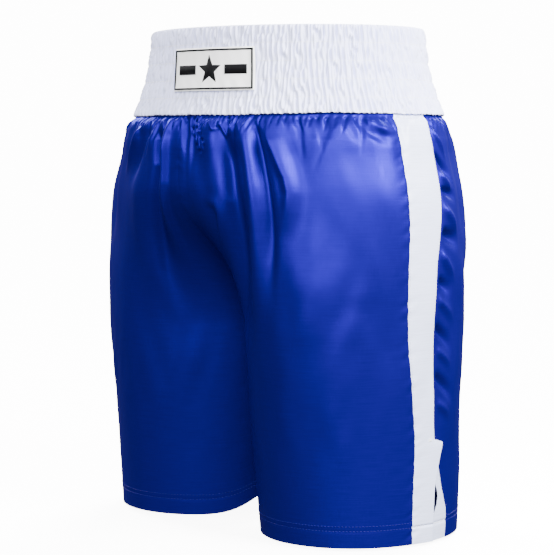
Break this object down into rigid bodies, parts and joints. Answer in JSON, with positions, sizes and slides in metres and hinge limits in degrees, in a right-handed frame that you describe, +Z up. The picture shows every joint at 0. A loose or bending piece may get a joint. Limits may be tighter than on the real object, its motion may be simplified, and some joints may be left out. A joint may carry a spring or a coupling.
{
  "type": "boxing shorts",
  "caption": "Knee-length satin boxing shorts with a wide gathered elastic waistband, contrast side stripes and open side vents at the hems.",
  "frame": {"origin": "centre of the garment at the level of the leg hems", "axes": "+Z up towards the waistband, -Y towards the wearer's front, +X towards the wearer's left"},
  "size_m": [0.4356, 0.3216, 0.525],
  "materials": {
    "blue_satin": "glossy royal blue polyester satin",
    "white_satin": "glossy white polyester satin",
    "white_band": "gathered white polyester over elastic",
    "elastic": "woven polyester and rubber elastic",
    "white_thread": "polyester sewing thread",
    "blue_thread": "polyester sewing thread",
    "overlocked_edge": "raw satin edge bound with overlock thread",
    "label_white": "woven polyester patch",
    "label_black": "woven black yarn"
  },
  "bodies": {
    "shorts": {"back_hem_left": "blue_satin", "back_hem_right": "blue_satin", "back_panel_left": "blue_satin", "back_panel_right": "blue_satin", "centre_back_seam": "overlocked_edge", "centre_front_seam": "overlocked_edge", "front_hem_left": "blue_satin", "front_hem_right": "blue_satin", "front_label": "label_white", "front_label_border": "label_black", "front_label_emblem": "label_black", "front_panel_left": "blue_satin", "front_panel_right": "blue_satin", "hem_stitching_left": "blue_thread", "hem_stitching_right": "blue_thread", "inseam_left": "overlocked_edge", "inseam_right": "overlocked_edge", "side_stripe_left": "white_satin", "side_stripe_right": "white_satin", "size_tab": "label_white", "stripe_back_seam_left": "overlocked_edge", "stripe_back_seam_right": "overlocked_edge", "stripe_front_seam_left": "overlocked_edge", "stripe_front_seam_right": "overlocked_edge", "stripe_stitching_left": "white_thread", "stripe_stitching_right": "white_thread", "vent_bar_tack_left": "white_thread", "vent_bar_tack_right": "white_thread", "waist_elastic_1": "elastic", "waist_elastic_2": "elastic", "waist_elastic_3": "elastic", "waist_elastic_4": "elastic", "waist_elastic_5": "elastic", "waist_seam_allowance_left": "overlocked_edge", "waist_seam_allowance_right": "overlocked_edge", "waist_seam_stitching": "white_thread", "waistband_lining": "white_band", "waistband_outer": "white_band", "waistband_stitching": "white_thread"},
    "left_front_flap": {"vent_front_flap_hem_left": "white_satin", "vent_front_flap_left": "white_satin", "vent_front_flap_stitching_left": "white_thread"},
    "left_back_flap": {"vent_back_flap_hem_left": "white_satin", "vent_back_flap_left": "white_satin", "vent_back_flap_stitching_left": "white_thread"},
    "right_front_flap": {"vent_front_flap_hem_right": "white_satin", "vent_front_flap_right": "white_satin", "vent_front_flap_stitching_right": "white_thread"},
    "right_back_flap": {"vent_back_flap_hem_right": "white_satin", "vent_back_flap_right": "white_satin", "vent_back_flap_stitching_right": "white_thread"}
  },
  "joints": [
    {"name": "left_front_flap_hinge", "type": "hinge", "parent": "shorts", "child": "left_front_flap", "pos_m": [0.20639, -0.02527, 0], "axis": [-0.0086, -0.0235, -0.9997], "range_deg": [0, 40]},
    {"name": "left_back_flap_hinge", "type": "hinge", "parent": "shorts", "child": "left_back_flap", "pos_m": [0.20561, 0.02876, 0], "axis": [0.0324, -0.2201, 0.9749], "range_deg": [0, 30]},
    {"name": "right_front_flap_hinge", "type": "hinge", "parent": "shorts", "child": "right_front_flap", "pos_m": [-0.20639, -0.02527, 0], "axis": [-0.0086, 0.0235, 0.9997], "range_deg": [0, 40]},
    {"name": "right_back_flap_hinge", "type": "hinge", "parent": "shorts", "child": "right_back_flap", "pos_m": [-0.20561, 0.02876, 0], "axis": [0.0324, 0.2201, -0.9749], "range_deg": [0, 30]}
  ]
}
